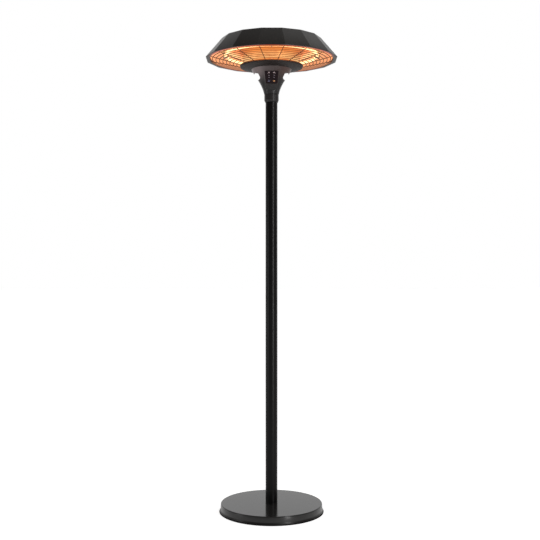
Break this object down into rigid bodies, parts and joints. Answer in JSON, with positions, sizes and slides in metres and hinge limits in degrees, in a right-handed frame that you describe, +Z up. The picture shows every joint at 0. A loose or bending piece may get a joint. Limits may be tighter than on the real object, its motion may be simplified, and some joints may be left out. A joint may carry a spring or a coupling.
{
  "type": "infrared patio heater tower",
  "caption": "Free-standing electric infrared patio heater: weighted round base, straight pole, flared neck with control panel, faceted canopy over a glowing ring behind a wire guard.",
  "frame": {"origin": "on the floor, on the pole's axis", "axes": "+Z up along the pole; -Y is the front, where the control panel faces"},
  "size_m": [0.5768, 0.5768, 2.1105],
  "materials": {
    "pole_enamel": "satin black powder coat",
    "base_paint": "satin black powder coat on pressed sheet steel",
    "canopy_enamel": "satin charcoal powder coat on sheet steel",
    "neck_plastic": "moulded charcoal, fine texture",
    "hub_dark": "matt dark paint",
    "panel_gloss": "smoked gloss panel",
    "key_gloss": "gloss key caps",
    "zinc": "zinc-plated steel",
    "reflector_bright": "bright-rolled reflector",
    "guard_wire": "bright wire, heat tinted",
    "element_glass": "quartz tube, lit",
    "element_wire": "glowing heating coil",
    "ceramic": "unglazed steatite",
    "concrete": "cast ballast",
    "rubber": "moulded",
    "circuit_board": "solder-masked laminate",
    "switch_plastic": "moulded"
  },
  "bodies": {
    "tower": {"base_bottom_plate": "base_paint", "base_cover": "base_paint", "base_plate_screw_1": "zinc", "base_plate_screw_2": "zinc", "base_plate_screw_3": "zinc", "base_weight": "concrete", "board_screw_1": "zinc", "board_screw_2": "zinc", "cable_gland": "rubber", "canopy": "canopy_enamel", "canopy_post_1": "zinc", "canopy_post_2": "zinc", "canopy_post_3": "zinc", "canopy_screw_1": "zinc", "canopy_screw_2": "zinc", "canopy_screw_3": "zinc", "ceramic_holder_1": "ceramic", "ceramic_holder_2": "ceramic", "collar_screw": "zinc", "control_board": "circuit_board", "control_panel": "panel_gloss", "display_module": "switch_plastic", "element_clip_1": "zinc", "element_clip_2": "zinc", "element_tube_1": "element_glass", "element_tube_2": "element_glass", "filament_1": "element_wire", "filament_2": "element_wire", "flange_bolt_1": "zinc", "flange_bolt_2": "zinc", "flange_bolt_3": "zinc", "floor_ring": "rubber", "gland_nut": "switch_plastic", "guard_grille": "guard_wire", "head_tube": "pole_enamel", "hub_cover": "hub_dark", "hub_plate": "zinc", "mode_switch": "switch_plastic", "neck_collar": "neck_plastic", "neck_front_shell": "neck_plastic", "neck_rear_shell": "neck_plastic", "neck_screw_1": "zinc", "neck_screw_2": "zinc", "pole_flange": "zinc", "pole_joiner_1": "zinc", "pole_joiner_2": "zinc", "pole_joiner_3": "zinc", "pole_lower": "pole_enamel", "pole_middle": "pole_enamel", "pole_upper": "pole_enamel", "power_switch": "switch_plastic", "reflector": "reflector_bright", "terminal_block": "ceramic", "tilt_switch_bracket": "zinc"},
    "power_key": {"power_key": "key_gloss"},
    "mode_key": {"mode_key": "key_gloss"},
    "power_plunger": {"power_switch_plunger": "switch_plastic"},
    "mode_plunger": {"mode_switch_plunger": "switch_plastic"},
    "tilt_pendulum": {"tilt_pendulum": "zinc"}
  },
  "joints": [
    {"name": "power_key_press", "type": "slide", "parent": "tower", "child": "power_key", "axis": [0, 0.8829, 0.4695], "range_m": [0, 0.0008], "stiffness_N_per_m": 900},
    {"name": "power_plunger_press", "type": "slide", "parent": "tower", "child": "power_plunger", "axis": [0, 0.8829, 0.4695], "range_m": [0, 0.001]},
    {"name": "mode_key_press", "type": "slide", "parent": "tower", "child": "mode_key", "axis": [0, 0.8829, 0.4695], "range_m": [0, 0.0008], "stiffness_N_per_m": 900},
    {"name": "mode_plunger_press", "type": "slide", "parent": "tower", "child": "mode_plunger", "axis": [0, 0.8829, 0.4695], "range_m": [0, 0.001]},
    {"name": "tilt_swing", "type": "hinge", "parent": "tower", "child": "tilt_pendulum", "pos_m": [-0.046, 0, 2.013], "axis": [0, 1, 0], "range_deg": [-30, 30]}
  ],
  "couplings": [
    {"joint": "power_plunger_press", "follows": "power_key_press", "ratio": 1},
    {"joint": "mode_plunger_press", "follows": "mode_key_press", "ratio": 1}
  ]
}
